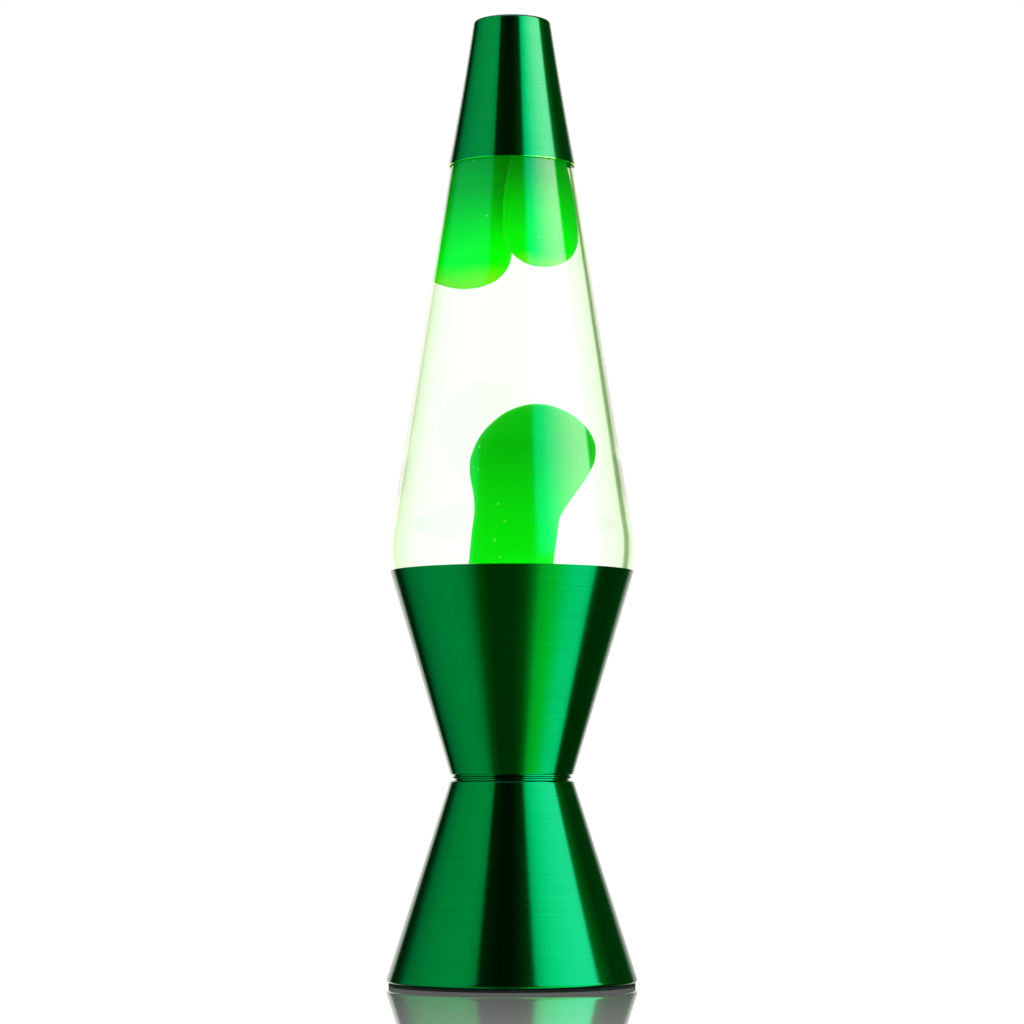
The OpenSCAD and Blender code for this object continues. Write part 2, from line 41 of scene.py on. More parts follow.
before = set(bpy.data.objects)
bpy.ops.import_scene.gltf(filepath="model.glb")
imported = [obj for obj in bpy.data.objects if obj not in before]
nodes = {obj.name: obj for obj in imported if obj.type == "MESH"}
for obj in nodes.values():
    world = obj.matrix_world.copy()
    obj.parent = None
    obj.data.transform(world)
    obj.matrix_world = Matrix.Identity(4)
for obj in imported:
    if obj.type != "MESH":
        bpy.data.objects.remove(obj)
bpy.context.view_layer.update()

MM = 0.001


# ---- outlines in millimetres: points are (radius, height) ----


def corner(before, at, after, radius, step=3.0):
    """The arc that rounds one corner of an outline."""
    at = Vector(at)
    a = (Vector(before) - at).normalized()
    b = (Vector(after) - at).normalized()
    half = math.acos(max(-1.0, min(1.0, a.dot(b)))) / 2
    centre = at + (a + b).normalized() * radius / math.sin(half)
    start = at + a * radius / math.tan(half) - centre
    end = at + b * radius / math.tan(half) - centre
    first = math.atan2(start.y, start.x)
    sweep = math.atan2(end.y, end.x) - first
    sweep = (sweep + 5 * math.pi) % (2 * math.pi) - math.pi
    count = max(2, math.ceil(abs(math.degrees(sweep)) / step))
    angles = [first + sweep * i / count for i in range(count + 1)]
    return [centre + radius * Vector((math.cos(t), math.sin(t))) for t in angles]


def rounded(points, step=3.0):
    """An outline whose third values are corner radii."""
    path = []
    for i, p in enumerate(points):
        if len(p) > 2 and p[2] > 0:
            path += corner(points[i - 1][:2], p[:2], points[i + 1][:2], p[2], step)
        else:
            path.append(Vector(p[:2]))
    return path


def side(a, b):
    """The direction to the left of the way from a to b."""
    d = (b - a).normalized()
    return Vector((-d.y, d.x))


def beside(path, distance):
    """The path moved to its left by a distance."""
    moved = []
    for i, p in enumerate(path):
        ahead = side(path[i], path[i + 1]) if i + 1 < len(path) else None
        behind = side(path[i - 1], path[i]) if i else None
        m, k = ahead or behind, behind or ahead
        moved.append(p + distance * (m + k) / (1 + m.dot(k)))
    return moved


def filled(path, spacing):
    """The same path with more points on its long straights."""
    full = [path[0]]
    for a, b in zip(path, path[1:]):
        n = max(1, math.ceil((b - a).length / spacing))
        full += [a.lerp(b, i / n) for i in range(1, n + 1)]
    return full


# ---- meshes ----


def to_object(name, bm, sharp_angle=None):
    """A finished object from a bmesh, smooth apart from its sharp edges."""
    bmesh.ops.recalc_face_normals(bm, faces=bm.faces)
    mesh = bpy.data.meshes.new(name)
    bm.to_mesh(mesh)
    bm.free()
    mesh.polygons.foreach_set("use_smooth", [True] * len(mesh.polygons))
    if sharp_angle is not None:
        mesh.set_sharp_from_angle(angle=math.radians(sharp_angle))
    obj = bpy.data.objects.new(name, mesh)
    bpy.context.scene.collection.objects.link(obj)
    return obj


def spin(name, outline, turns=192, sharp_angle=35):
    """A closed outline turned about the lamp's axis."""
    bm = bmesh.new()
    rings = []
    for r, z in outline:
        if r < 1e-6:
            rings.append([bm.verts.new((0, 0, z * MM))])
            continue
        angles = [2 * math.pi * j / turns for j in range(turns)]
        rings.append([
            bm.verts.new((r * math.cos(t) * MM, r * math.sin(t) * MM, z * MM)) for t in angles
        ])
    for i, low in enumerate(rings):
        bridge(bm, low, rings[(i + 1) % len(rings)])
    return to_object(name, bm, sharp_angle)


def bridge(bm, low, high):
    """Faces between two rings, either of which may be a single point."""
    n = max(len(low), len(high))
    if n == 1:
        return
    for j in range(n):
        k = (j + 1) % n
        if len(low) == 1:
            bm.faces.new((low[0], high[k], high[j]))
        elif len(high) == 1:
            bm.faces.new((low[j], low[k], high[0]))
        else:
            bm.faces.new((low[j], low[k], high[k], high[j]))


def smooth_through(stations, count):
    """Stations joined by a smooth curve, as count + 1 evenly spaced ones."""
    points = []
    last = len(stations) - 1
    for i in range(count + 1):
        t = last * i / count
        k = min(int(t), last - 1)
        u = t - k
        a, b = stations[max(k - 1, 0)], stations[k]
        c, d = stations[k + 1], stations[min(k + 2, last)]
        points.append([
            0.5 * (2 * q + (r - p) * u + (2 * p - 5 * q + 4 * r - s) * u * u
                   + (3 * q - p - 3 * r + s) * u ** 3)
            for p, q, r, s in zip(a, b, c, d)
        ])
    return points


def lofted(name, stations, rows, turns, wobble=0.0):
    """Round slices stacked up a path. A station is (x, y, z, radius), and the end ones may be points."""
    bm = bmesh.new()
    rings = []
    for x, y, z, r in smooth_through(stations, rows):
        if r < 0.05:
            rings.append([bm.verts.new((x * MM, y * MM, z * MM))])
            continue
        ring = []
        for j in range(turns):
            t = 2 * math.pi * j / turns
            spot = Vector((math.cos(t), math.sin(t), z * 0.05))
            reach = r + wobble * min(1, r / 4) * noise.noise(spot * 1.3)
            ring.append(bm.verts.new((
                (x + reach * math.cos(t)) * MM, (y + reach * math.sin(t)) * MM, z * MM)))
        rings.append(ring)
    for low, high in zip(rings, rings[1:]):
        bridge(bm, low, high)
    for end in (rings[0], rings[-1]):
        if len(end) > 1:
            bm.faces.new(end)
    return to_object(name, bm, 60)


def tube_along(name, points, radius, segments=10, closed=False):
    """A round wire along a path in millimetres."""
    bm = bmesh.new()
    rings = []
    n = len(points)
    up = None
    for i, p in enumerate(points):
        before = points[i - 1] if i or closed else points[i]
        after = points[(i + 1) % n] if i + 1 < n or closed else points[i]
        run = (after - before).normalized()
        if up is None:
            up = run.orthogonal().normalized()
        up = (up - run * up.dot(run)).normalized()
        across = run.cross(up)
        ring = []
        for j in range(segments):
            t = 2 * math.pi * j / segments
            ring.append(bm.verts.new((p + radius * (up * math.cos(t) + across * math.sin(t))) * MM))
        rings.append(ring)
    for low, high in zip(rings, rings[1:]):
        bridge(bm, low, high)
    if not closed:
        bm.faces.new(rings[0])
        bm.faces.new(rings[-1])
    return to_object(name, bm, 60)


# ---- shader nodes ----


class Nodes:
    """Builds one node tree, with short names for the few node kinds used here."""

    def __init__(self, owner):
        owner.use_nodes = True
        self.tree = owner.node_tree
        self.tree.nodes.clear()

    def add(self, kind, **values):
        node = self.tree.nodes.new("ShaderNode" + kind)
        for key, value in values.items():
            setattr(node, key, value)
        return node

    def put(self, value, socket):
        if isinstance(value, bpy.types.NodeSocket):
            self.tree.links.new(value, socket)
        else:
            socket.default_value = value

    def math(self, operation, a, b=0.0):
        node = self.add("Math", operation=operation)
        self.put(a, node.inputs[0])
        self.put(b, node.inputs[1])
        return node.outputs[0]

    def vector(self, operation, a, b=(0, 0, 0)):
        node = self.add("VectorMath", operation=operation)
        self.put(a, node.inputs[0])
        self.put(b, node.inputs[1])
        return node.outputs[0]

    def noise(self, vector, scale, detail=2.0, roughness=0.5, distortion=0.0):
        node = self.add("TexNoise")
        self.put(vector, node.inputs["Vector"])
        self.put(scale, node.inputs["Scale"])
        self.put(detail, node.inputs["Detail"])
        self.put(roughness, node.inputs["Roughness"])
        self.put(distortion, node.inputs["Distortion"])
        return node.outputs["Fac"]

    def spread(self, value, low, high, to_low, to_high, smooth=False):
        """The value's place between low and high, as a place between to_low and to_high."""
        node = self.add("MapRange", interpolation_type="SMOOTHSTEP" if smooth else "LINEAR")
        for v, socket in zip((value, low, high, to_low, to_high), node.inputs):
            self.put(v, socket)
        return node.outputs[0]

    def ramp(self, value, stops):
        node = self.add("ValToRGB")
        ramp = node.color_ramp
        while len(ramp.elements) < len(stops):
            ramp.elements.new(0.5)
        for element, (place, _) in zip(ramp.elements, stops):
            element.position = place
        for element, (_, colour) in zip(ramp.elements, stops):
            element.color = rgb(colour)
        self.put(value, node.inputs[0])
        return node.outputs[0]

    def mix(self, share, a, b):
        node = self.add("Mix", data_type="RGBA")
        self.put(share, node.inputs[0])
        self.put(a, node.inputs[6])
        self.put(b, node.inputs[7])
        return node.outputs[2]

    def bump(self, height, distance, strength):
        node = self.add("Bump")
        self.put(strength, node.inputs["Strength"])
        self.put(distance, node.inputs["Distance"])
        self.put(height, node.inputs["Height"])
        return node.outputs["Normal"]

    def principled(self, **values):
        node = self.add("BsdfPrincipled")
        for key, value in values.items():
            self.put(value, node.inputs[key.replace("_", " ")])
        return node

    def end(self, shader):
        out = self.add("OutputMaterial")
        self.tree.links.new(shader, out.inputs["Surface"])

    def glass(self, colour, rough, ior, normal):
        return self.principled(
            Base_Color=colour, Roughness=rough, IOR=ior, Transmission_Weight=1.0, Normal=normal)

    def place(self):
        return self.add("TexCoord").outputs["Object"]

    def parts(self, vector):
        node = self.add("SeparateXYZ")
        self.put(vector, node.inputs[0])
        return node.outputs


def rgb(colour):
    return (*colour, 1)


def dimmer(colour, share):
    return rgb([c * share for c in colour])


def finish_node(name, material):
    """Gives a carried-over CAD piece its finish."""
    mesh = nodes[name].data
    mesh.materials.clear()
    mesh.materials.append(material)


def dress(obj, material, slot, body, *replaced):
    """Gives a built piece its finish, its body and the CAD pieces it stands for. The slot argument is
    not used.
    """
    obj.data.materials.clear()
    obj.data.materials.append(material)
    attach(obj, body)
    if replaced:
        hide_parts(*replaced)
    return obj


# ---- finishes ----


def spun_metal(name, tint, lines_per_mm, grain, rim=None):
    """Dyed, spun and brushed aluminium: fine lines run round the axis and blur what it mirrors.

    Below rim, a height in metres, a yellow-green painted highlight stands for light caught on the
    sheet's cut edge.
    """
    # Painted highlight: the yellow-green of light caught on the cap's cut edge
    rim_glint_colour = (0.5, 0.85, 0.2, 1)
    material = bpy.data.materials.new(name)
    n = Nodes(material)
    place = n.place()
    fine = n.noise(n.vector("MULTIPLY", place, (34, 34, 1900 * lines_per_mm)), 1.0, 3.0, 0.65)
    broad = n.noise(n.vector("MULTIPLY", place, (14, 14, 520 * lines_per_mm)), 1.0, 2.0, 0.5)
    cloud = n.noise(place, 28.0, 3.0, 0.5)
    line = n.math("ADD", n.math("MULTIPLY", fine, 0.6), n.math("MULTIPLY", broad, 0.4))
    shade = n.math("ADD", n.spread(line, 0.3, 0.7, 1 - grain, 1 + grain),
                   n.spread(cloud, 0.3, 0.7, -0.04, 0.04))
    tone = n.vector("SCALE", tint)
    n.put(shade, tone.node.inputs["Scale"])
    if rim is not None:
        # Painted highlight: a thin band just above the rim's lower edge takes the glint colour
        rim_glint = n.spread(n.parts(place)[2], rim + 0.12 * MM, rim + 0.3 * MM, 1.0, 0.0, True)
        tone = n.mix(rim_glint, tone, rim_glint_colour)
    rough = n.spread(line, 0.3, 0.7, 0.07, 0.12)
    normal = n.bump(line, 0.000012, 0.3)
    tangent = n.add("Tangent", direction_type="RADIAL", axis="Z").outputs[0]
    metal = n.principled(Base_Color=tone, Metallic=1.0, Roughness=rough, Normal=normal,
                         Anisotropic=0.5, Tangent=tangent)
    n.end(metal.outputs[0])
    return material


GLASS_IOR, LIQUID_IOR = 1.5, 1.33


def globe_glass(name, ior, gloss=0.0):
    """Clear pressed glass with the faint waviness of a moulded bottle."""
    material = bpy.data.materials.new(name)
    n = Nodes(material)
    place = n.place()
    wave = n.noise(n.vector("MULTIPLY", place, (1, 1, 0.35)), 55.0, 1.0)
    haze = n.noise(place, 240.0, 3.0)
    tone = n.mix(haze, (0.975, 1.0, 0.975, 1), (0.985, 1.0, 0.985, 1))
    glass = n.glass(tone, 0.0, ior, n.bump(wave, 0.00012, 0.12))
    if gloss:
        glass.inputs["Coat Weight"].default_value = gloss
        glass.inputs["Coat Roughness"].default_value = 0.0
        glass.inputs["Coat IOR"].default_value = GLASS_IOR
    n.end(glass.outputs[0])
    return material


def lamp_liquid(colour):
    """The tinted clear liquid that the wax drifts in. The wetted glass bends the light for it."""
    material = bpy.data.materials.new("lamp liquid")
    n = Nodes(material)
    place = n.place()
    streak = n.noise(n.vector("MULTIPLY", place, (1, 1, 0.5)), 16.0, 2.0)
    tint = n.mix(streak, dimmer(colour, 0.995), rgb(colour))
    clear = n.principled(Base_Color=tint, Roughness=0.0, IOR=1.0, Transmission_Weight=1.0)
    n.end(clear.outputs[0])
    return material


def wax_with_painted_light(name, settings, heights, lit_foot_tone, shaded_top_tone):
    """Cloudy wax with light soaking through it and tiny bubbles; its emission is a painted glow standing
    for the bulb's light in the wax.

    It turns from lit_foot_tone, a painted glow of the bulb's light at the lower edge, to its own colour
    between the first two of the three heights, and from there to shaded_top_tone, painted shade towards
    the top under the cap, at the third.
    """
    body = settings.tone
    foot_z, tip_z, top_z = [h * MM for h in heights]
    material = bpy.data.materials.new(name)
    n = Nodes(material)
    place = n.place()
    z = n.parts(place)[2]
    drift = n.noise(place, 60.0, 3.0, 0.55, 0.4)
    height = n.math("ADD", z, n.spread(drift, 0.3, 0.7, -0.0012, 0.0012))
    # Painted glow: lime at the lowest edge, turning to the wax's own colour
    tone = n.mix(n.spread(height, foot_z, tip_z, 0.0, 1.0, True), rgb(lit_foot_tone), rgb(body))
    # Painted shade: darker towards the top, under the cap
    tone = n.mix(n.spread(height, tip_z, top_z, 0.0, 1.0), tone, rgb(shaded_top_tone))
    tone = n.mix(n.spread(drift, 0.35, 0.65, 0.0, 0.12), tone, dimmer(body, 0.8))

    def bubbles(scale, channel, rarity, core, rim):
        """Round dots in the few cells whose random colour is above the rarity."""
        cell = n.add("TexVoronoi", feature="F1")
        n.put(place, cell.inputs["Vector"])
        cell.inputs["Scale"].default_value = scale
        few = n.math("GREATER_THAN", n.parts(cell.outputs["Color"])[channel], rarity)
        dots = n.spread(cell.outputs["Distance"], core, rim, 1.0, 0.0)
        return n.math("MULTIPLY", dots, few)

    large = bubbles(210.0, 0, 0.86, 0.05, 0.13)
    small = bubbles(430.0, 1, 0.93, 0.08, 0.22)
    speck = n.math("MAXIMUM", large, n.math("MULTIPLY", small, 0.7))
    tone = n.mix(n.math("MULTIPLY", speck, 0.6), tone, (0.35, 1.0, 0.3, 1))
    soft = n.principled(
        Base_Color=tone, Roughness=0.5, IOR=1.07,
        Sheen_Weight=1.0, Sheen_Roughness=0.3, Sheen_Tint=(0.12, 1.0, 0.12, 1),
        Subsurface_Weight=1.0, Subsurface_Radius=(0.25, 1.0, 0.12), Subsurface_Scale=settings.depth,
        # Painted glow: the emission stands for the bulb's light in the wax
        Emission_Color=tone, Emission_Strength=settings.painted_glow,
        Normal=n.bump(n.math("ADD", drift, n.math("MULTIPLY", speck, 0.3)), 0.0003, 0.25))
    n.end(soft.outputs[0])
    return material


def plain_metal(name, tone, rough, grain_scale, stretch=(1, 1, 1), relief=0.00003, tarnish=None):
    """Bare metal with a grain, faint scratches and, where wanted, a duller tarnish."""
    material = bpy.data.materials.new(name)
    n = Nodes(material)
    place = n.place()
    grain = n.noise(n.vector("MULTIPLY", place, stretch), grain_scale, 4.0, 0.6)
    patch = n.noise(place, 70.0, 4.0, 0.6)
    colour = n.mix(n.spread(grain, 0.35, 0.65, 0.0, 1.0), dimmer(tone, 0.86), rgb(tone))
    if tarnish:
        colour = n.mix(n.spread(patch, 0.45, 0.75, 0.0, 0.7, True), colour, rgb(tarnish))
    metal = n.principled(
        Base_Color=colour, Metallic=1.0,
        Roughness=n.spread(patch, 0.3, 0.7, rough * 0.8, rough * 1.25),
        Normal=n.bump(grain, relief, 0.5))
    n.end(metal.outputs[0])
    return material


def dull_solid(name, tone, rough, grain_scale, relief, mottle=0.15, coat=0.0):
    """Paint, rubber or glaze: a faint mottle in the colour and a fine texture on the surface."""
    material = bpy.data.materials.new(name)
    n = Nodes(material)
    place = n.place()
    grain = n.noise(place, grain_scale, 3.0, 0.6)
    patch = n.noise(place, 45.0, 3.0, 0.5)
    colour = n.mix(n.spread(patch, 0.3, 0.7, 0.0, 1.0), dimmer(tone, 1 - mottle), rgb(tone))
    solid = n.principled(
        Base_Color=colour, Roughness=n.spread(grain, 0.3, 0.7, rough * 0.88, rough * 1.1),
        Normal=n.bump(grain, relief, 0.4))
    if coat:
        solid.inputs["Coat Weight"].default_value = coat
        solid.inputs["Coat Roughness"].default_value = 0.05
    n.end(solid.outputs[0])
    return material


def thin_glass(name, tone, rough):
    """Blown glass thin enough to see straight through."""
    relief = 0.05 * MM
    material = bpy.data.materials.new(name)
    n = Nodes(material)
    ripple = n.noise(n.place(), 90.0, 2.0)
    glass = n.glass(n.mix(ripple, dimmer(tone, 0.98), rgb(tone)), rough, GLASS_IOR,
                    n.bump(ripple, relief, 0.2))
    n.end(glass.outputs[0])
    return material


# ---- settings ----


class LampStageSettings(bpy.types.PropertyGroup):
    left_light: FloatProperty(
        name="Left light", description="Brightness of the left softbox", default=1.85, min=0)
    right_light: FloatProperty(
        name="Right light", description="Brightness of the right softbox", default=6.0, min=0)
    camera_distance: FloatProperty(
        name="Camera distance", description="From the lamp's axis to the camera",
        default=1.328, min=0.5, unit="LENGTH")
    camera_height: FloatProperty(
        name="Camera height", description="Above the floor", default=0.0736, unit="LENGTH")
    camera_tilt: FloatProperty(
        name="Camera tilt", description="How far the camera looks up",
        default=math.radians(4.541), subtype="ANGLE")
    lens: FloatProperty(
        name="Lens", description="Focal length", default=123.05, min=20, unit="CAMERA")
    floor_size: FloatProperty(
        name="Floor size", description="Width of the floor", default=9.0, min=1, unit="LENGTH")


class LampShellSettings(bpy.types.PropertyGroup):
    cap_tint: FloatVectorProperty(
        name="Cap colour", description="Dye on the cap", default=(0.035, 0.135, 0.076),
        size=3, min=0, max=1, subtype="COLOR")
    base_tint: FloatVectorProperty(
        name="Base colour", description="Dye on the cup and skirt",
        default=(0.002, 0.116, 0.057), size=3, min=0, max=1, subtype="COLOR")
    lines_per_mm: FloatProperty(
        name="Brushed lines", description="Brushed lines in each millimetre of height",
        default=2.2, min=0.2)
    grain: FloatProperty(
        name="Grain", description="How much the brushed lines vary in shade",
        default=0.09, min=0, max=0.5, subtype="FACTOR")


class LampGlobeSettings(bpy.types.PropertyGroup):
    turns: IntProperty(
        name="Facets", description="Steps round the glass", default=256, min=48)
    liquid_tint: FloatVectorProperty(
        name="Liquid colour", description="Tint of the liquid at each surface",
        default=(0.985, 1.0, 0.972), size=3, min=0, max=1, subtype="COLOR")


class LampWaxSettings(bpy.types.PropertyGroup):
    tone: FloatVectorProperty(
        name="Wax colour", description="The wax's own colour", default=(0.0, 0.97, 0.0),
        size=3, min=0, max=1, subtype="COLOR")
    # Painted glow of the bulb's light at a blob's lowest edge
    lit_foot_tone: FloatVectorProperty(
        name="Lower edge", description="Colour at a blob's lowest edge",
        default=(0.25, 1.0, 0.0), size=3, min=0, max=1, subtype="COLOR")
    # Painted shade towards the top, under the cap
    shaded_top_tone: FloatVectorProperty(
        name="Upper part", description="Colour under the cap", default=(0.0, 0.34, 0.0),
        size=3, min=0, max=1, subtype="COLOR")
    # Painted glow: emission that stands for the bulb's light in the wax, which gives off no light of its
    # own
    painted_glow: FloatProperty(
        name="Glow", description="Light given off by the warm wax", default=0.32, min=0)
    depth: FloatProperty(
        name="Depth", description="How far light soaks in", default=0.006, min=0,
        unit="LENGTH")


class LampHeatSettings(bpy.types.PropertyGroup):
    coil_turns: IntProperty(
        name="Coil turns", description="Turns of the spring in the foot of the globe",
        default=104, min=20)
    coil_wire: FloatProperty(
        name="Coil wire", description="Radius of the spring's wire", default=0.00034,
        min=0.0001, unit="LENGTH")
    filament_turns: IntProperty(
        name="Filament turns", description="Turns of the filament's fine coil",
        default=46, min=10)


GROUPS = {
    "lamp_stage": LampStageSettings,
    "lamp_shell": LampShellSettings,
    "lamp_globe": LampGlobeSettings,
    "lamp_wax": LampWaxSettings,
    "lamp_heat": LampHeatSettings,
}


# ---- stage ----


def studio(settings):
    """The studio as light from each direction: two tall softboxes, a white wall and dark gaps."""
    world = bpy.data.worlds.new("studio")
    bpy.context.scene.world = world
    n = Nodes(world)
    x, y, z = n.parts(n.add("TexCoord").outputs["Generated"])
    turn = n.math("ARCTAN2", x, n.math("MULTIPLY", y, -1))
    angle = n.math("ADD", n.math("DIVIDE", turn, 2 * math.pi), 0.5)

    def at(degrees):
        return degrees / 360 + 0.5

    left, right = settings.left_light, settings.right_light
    wall, moss, cool = (1.0, 0.95, 0.9), (0.02, 1.0, 0.1), (0.02, 1.0, 0.35)
    # Degrees round from the camera's side, brightness and tint: level and rising, then falling.
    high = [
        (-153, 1.15, wall), (-147, 0.06, moss), (-136, 0.06, moss), (-128, left * 0.13, cool),
        (-116, left * 0.52, cool), (-95, left * 0.86, cool), (-70, left, cool),
        (-50, left * 1.05, cool), (-38, left * 0.85, cool), (-34, 0.09, moss),
        (-12, 0.03, moss), (4, 0.05, moss), (19, 0.22, moss),
        (22, right * 0.12, (0.0, 1.0, 0.25)), (25, right * 0.52, (0.0, 1.0, 0.5)),
        (36, right * 0.82, (0.03, 1.0, 0.56)), (48, right * 0.93, (0.25, 1.0, 0.64)),
        (60, right, (0.5, 1.0, 0.7)), (75, right * 1.04, (0.66, 1.0, 0.75)),
        (88, right * 1.0, (0.62, 1.0, 0.73)), (92, 0.9, moss), (102, 0.42, moss),
        (113, 0.2, moss), (146, 0.14, moss), (153, 0.6, wall), (162, 1.0, wall),
        (172, 1.15, wall),
    ]
    low = [
        (-153, 1.15, wall), (-147, 0.06, moss), (-137, 0.06, moss), (-129, left * 0.26, cool),
        (-114, left * 0.56, cool), (-95, left * 0.82, cool), (-70, left * 0.97, cool),
        (-52, left * 0.85, cool), (-44, left * 0.6, (0.03, 1.0, 0.3)),
        (-36, left * 0.24, moss), (-24, 0.21, moss), (4, 0.23, moss), (15, 0.44, moss),
        (23, right * 0.2, moss), (30, right * 0.48, moss), (44, right * 0.64, (0.02, 1.0, 0.1)),
        (54, right * 0.72, (0.04, 1.0, 0.28)), (64, right * 0.8, (0.08, 1.0, 0.48)),
        (80, right * 0.8, (0.16, 1.0, 0.55)), (88, right * 0.66, (0.1, 1.0, 0.5)),
        (92, 0.5, moss), (99, 0.17, moss), (146, 0.1, moss), (153, 0.6, wall),
        (162, 1.0, wall), (172, 1.15, wall),
    ]

    # A ramp holds colours up to 1, so brighter ones are divided first and scaled back after it.
    mirror_peak, through_peak = 8.0, 1.25

    def brightness(stops):
        return n.ramp(angle, [
            (at(d), tuple(v / mirror_peak * c for c in tint)) for d, v, tint in stops])

    level = n.spread(z, -0.3, -0.05, 0.0, 1.0, True)
    mirror = n.vector("SCALE", n.mix(level, brightness(low), brightness(high)))
    mirror.node.inputs["Scale"].default_value = mirror_peak
    overhead = n.spread(z, 0.72, 0.9, 0.0, 1.0, True)
    mirror = n.mix(overhead, mirror, (0.8, 0.8, 0.8, 1))

    # What is seen through the globe: a white wall, with dark lines where its edges look.
    clear, faint = (1.16, 1.13, 1.12), (1.12, 1.13, 1.06)
    side_tone, rim_tone = (1.1, 1.22, 0.94), (1.24, 1.4, 1.0)
    mint, olive, line = (0.82, 1.24, 0.76), (0.32, 0.42, 0.16), (0.26, 0.42, 0.16)
    through = n.vector("SCALE", n.ramp(angle, [(at(d), [v / through_peak for v in c]) for d, c in [
        (-180, clear), (-150, faint), (-138, side_tone), (-136, olive), (-130, olive),
        (-128, side_tone), (-115, side_tone), (-106, mint), (-90, mint), (90, rim_tone),
        (95, line), (108, line), (113, rim_tone), (127, rim_tone), (138, side_tone),
        (152, faint), (180, clear),
    ]]))
    through.node.inputs["Scale"].default_value = through_peak
    paths = n.add("LightPath").outputs
    colour = n.mix(paths["Is Glossy Ray"], (0.95, 0.95, 0.95, 1), mirror)
    colour = n.mix(paths["Is Transmission Ray"], colour, through)
    colour = n.mix(paths["Is Camera Ray"], colour, (1, 1, 1, 1))

    light = n.add("Background")
    n.put(colour, light.inputs["Color"])
    out = n.add("OutputWorld")
    n.tree.links.new(light.outputs[0], out.inputs["Surface"])


def floor_finish():
    """A glossy white table that mirrors at low angles only."""
    first, full = 0.3, 0.765
    material = bpy.data.materials.new("glossy white table")
    n = Nodes(material)
    place = n.place()
    mottle = n.noise(place, 9.0, 2.0)
    white = n.add("Emission")
    n.put((1, 1, 1, 1), white.inputs["Color"])
    n.put(1.0, white.inputs["Strength"])
    gloss = n.add("BsdfGlossy")
    n.put((1, 1, 1, 1), gloss.inputs["Color"])
    n.put(n.spread(mottle, 0.3, 0.7, 0.01, 0.03), gloss.inputs["Roughness"])
    fresnel = n.add("Fresnel")
    fresnel.inputs["IOR"].default_value = 1.5
    both = n.add("MixShader")
    n.put(n.spread(fresnel.outputs[0], first, full, 0.0, 1.0), both.inputs[0])
    n.tree.links.new(white.outputs[0], both.inputs[1])
    n.tree.links.new(gloss.outputs[0], both.inputs[2])
    n.end(both.outputs[0])
    return material


class LAVALAMP_OT_stage(bpy.types.Operator):
    """Floor, studio light and camera"""

    bl_idname = "lavalamp.stage"
    bl_label = "Stage"

    def execute(self, context):
        scene = context.scene
        settings = scene.lamp_stage
        studio(settings)
        half = settings.floor_size / 2
        bm = bmesh.new()
        corners = ((-half, -half), (half, -half), (half, half), (-half, half))
        bm.faces.new([bm.verts.new((x, y, 0)) for x, y in corners])
        floor = to_object("table_top", bm)
        floor.data.materials.append(floor_finish())
        floor.visible_glossy = False
        floor.visible_transmission = False
        camera = bpy.data.cameras.new("camera")
        camera.lens = settings.lens
        camera.sensor_width = 36
        camera.clip_end = 50
        eye = bpy.data.objects.new("camera", camera)
        eye.location = (0, -settings.camera_distance, settings.camera_height)
        eye.rotation_euler = (math.pi / 2 + settings.camera_tilt, 0, 0)
        scene.collection.objects.link(eye)
        scene.camera = eye
        scene.view_settings.view_transform = "Standard"
        scene.view_settings.look = "None"
        scene.cycles.max_bounces = 20
        scene.cycles.transmission_bounces = 16
        scene.cycles.glossy_bounces = 6
        scene.cycles.diffuse_bounces = 3
        scene.cycles.transparent_max_bounces = 8
        scene.cycles.sample_clamp_indirect = 8
        scene.cycles.use_denoising = True
        return {"FINISHED"}


# ---- operators: one for each piece or group ----


class LAVALAMP_OT_shell(bpy.types.Operator):
    """Green spun cap, cup, skirt and waist ring"""

    bl_idname = "lavalamp.shell"
    bl_label = "Spun metal"

    def execute(self, context):
        s = context.scene.lamp_shell
        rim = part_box("cap")[0].z
        cap = spun_metal("green cap metal", s.cap_tint, s.lines_per_mm, s.grain, rim)
        base = spun_metal("green base metal", s.base_tint, s.lines_per_mm, s.grain)
        waist = spun_metal("dark waist metal", [c * 0.9 for c in s.base_tint],
                           s.lines_per_mm, s.grain)
        finish_node("cap", cap)
        finish_node("cup", base)
        finish_node("skirt", base)
        finish_node("waist_ring", waist)
        return {"FINISHED"}


# The globe in millimetres: the tapers below and above the belly, and the heights up the glass.
LOWER, UPPER = math.radians(16.6), math.radians(9.15)
BELLY_R, BELLY_Z, BELLY_ARC = 46.45, 165.5, 41.5
FOOT_Z, SHOULDER_Z, NECK_Z, BEAD_Z, LIP_Z = 127.5, 317.0, 336.0, 356.6, 361.9
WALL, NECK_R, BEAD_R, FILL_Z = 2.4, 12.4, 13.25, 346.0


def globe_path():
    """The globe's outside from the middle of its foot up to the bead below the lip."""
    half, mid = (UPPER + LOWER) / 2, (UPPER - LOWER) / 2
    reach = BELLY_ARC / math.cos(half)
    corner_r = BELLY_R - BELLY_ARC + reach * math.cos(mid)
    corner_z = BELLY_Z + reach * math.sin(mid)
    foot_r = corner_r - (corner_z - FOOT_Z) * math.tan(LOWER)
    shoulder_r = corner_r - (SHOULDER_Z - corner_z) * math.tan(UPPER)
    return rounded([
        (0, FOOT_Z + 3), (14, FOOT_Z + 3, 12), (27, FOOT_Z, 3), (foot_r, FOOT_Z, 7),
        (corner_r, corner_z, BELLY_ARC), (shoulder_r, SHOULDER_Z, 18), (NECK_R, NECK_Z, 14),
        (NECK_R, BEAD_Z),
    ], 1.5)


